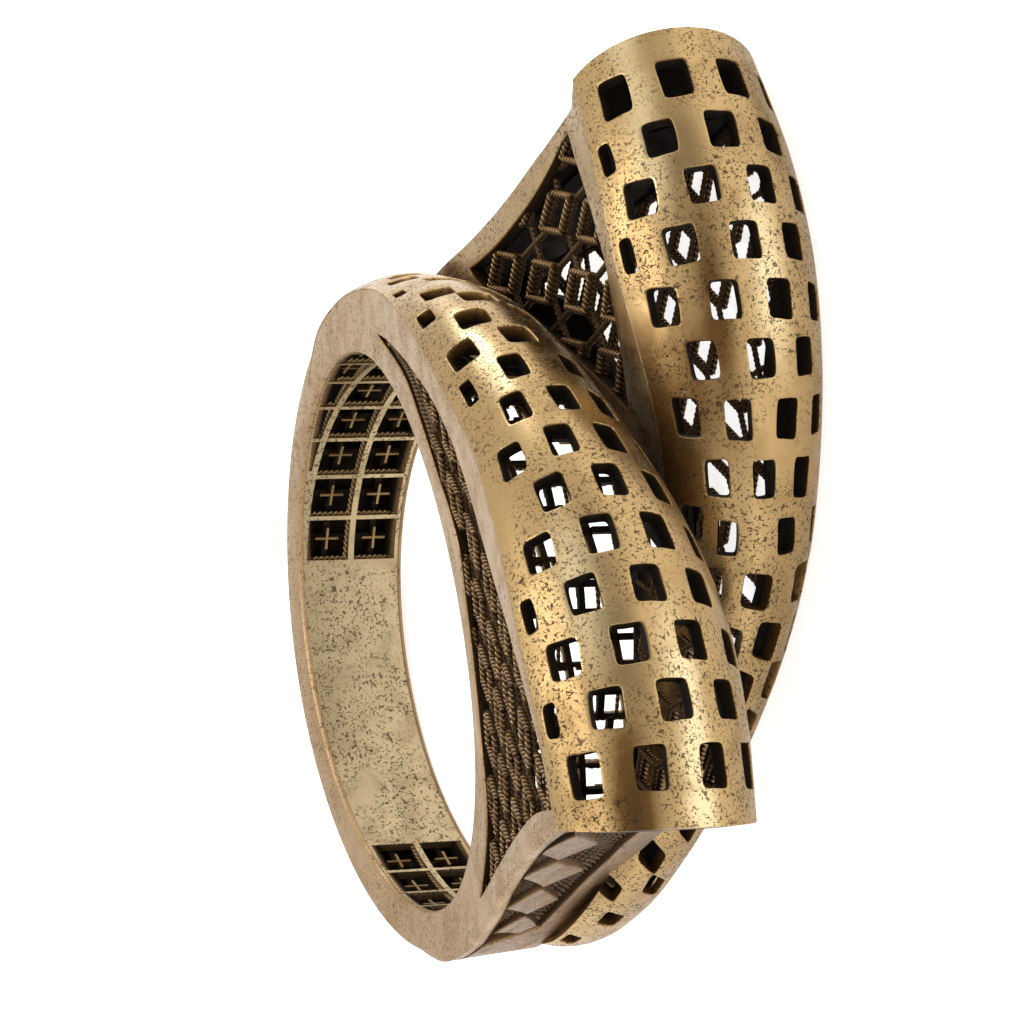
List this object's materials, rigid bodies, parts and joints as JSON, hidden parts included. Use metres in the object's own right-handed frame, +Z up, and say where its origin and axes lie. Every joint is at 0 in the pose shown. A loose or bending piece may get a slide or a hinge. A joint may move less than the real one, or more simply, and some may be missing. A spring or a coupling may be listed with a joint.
{
  "type": "openwork ring",
  "caption": "Finger ring of one cast and soldered metal: a plain-backed band whose shoulders swell into two long, vaulted, pierced leaves that pass each other over the finger.",
  "frame": {"origin": "on the floor under the middle of the ring's outline, where it lies on its side", "axes": "+X from the plain back of the band to the head, +Y across the finger hole towards the shoulder of the leaf that lies on top, +Z up, out of the upper side of the finger hole, which leans 8.7 degrees from it"},
  "size_m": [0.03, 0.0236, 0.0114],
  "materials": {
    "metal": "antique: polished on the high spots, blackened in the recesses"
  },
  "bodies": {
    "root": {"ring": "metal"}
  },
  "joints": []
}
